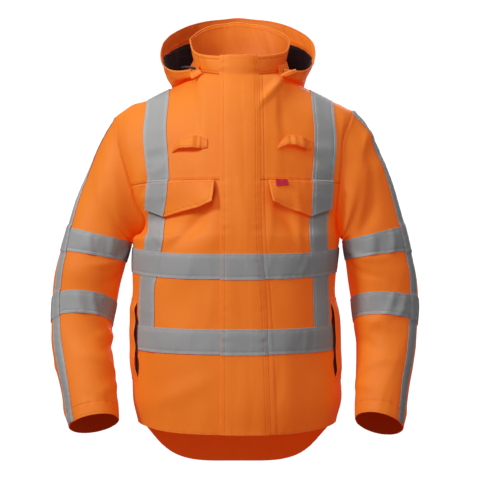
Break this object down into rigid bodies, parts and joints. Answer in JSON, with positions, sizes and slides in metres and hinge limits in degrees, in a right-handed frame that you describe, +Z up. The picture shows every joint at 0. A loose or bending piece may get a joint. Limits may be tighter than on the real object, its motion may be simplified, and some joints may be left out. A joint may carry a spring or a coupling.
{
  "type": "hooded work jacket",
  "caption": "Hip-length hooded high-visibility work jacket with reflective tapes, storm flap, chest pocket flaps and radio loops, held in its worn shape and empty.",
  "frame": {"origin": "middle of the neck opening at the height of the shoulder seams, where the wearer's neck holds the jacket up", "axes": "+Z up along the body, -Y towards the front, +X to the wearer's left"},
  "size_m": [0.7326, 0.371, 0.928],
  "materials": {
    "shell": "coated woven, matt",
    "tape": "retroreflective, satin",
    "lining": "plain woven, matt",
    "label": "woven ribbon",
    "cord": "braided, matt"
  },
  "bodies": {
    "root": {"front_right": "shell", "front_left": "shell", "yoke_right": "shell", "yoke_left": "shell", "back": "shell", "sleeve_right": "shell", "sleeve_left": "shell", "collar": "shell", "hood": "shell", "hood_tab_right": "shell", "hood_tab_left": "shell", "storm_flap": "shell", "pocket_flap_right": "shell", "pocket_flap_left": "shell", "radio_loop_right": "shell", "radio_loop_left": "shell", "side_welt_right": "shell", "side_welt_left": "shell", "brace_right": "tape", "brace_left": "tape", "waist_tape_upper": "tape", "waist_tape_lower": "tape", "storm_tape_upper": "tape", "storm_tape_lower": "tape", "flap_tape_right": "tape", "flap_tape_left": "tape", "band_upper_right": "tape", "band_upper_left": "tape", "band_lower_right": "tape", "band_lower_left": "tape", "stripe_right": "tape", "stripe_left": "tape", "hood_lining": "lining", "label_tab": "label", "cord_end_right": "cord"}
  },
  "joints": []
}
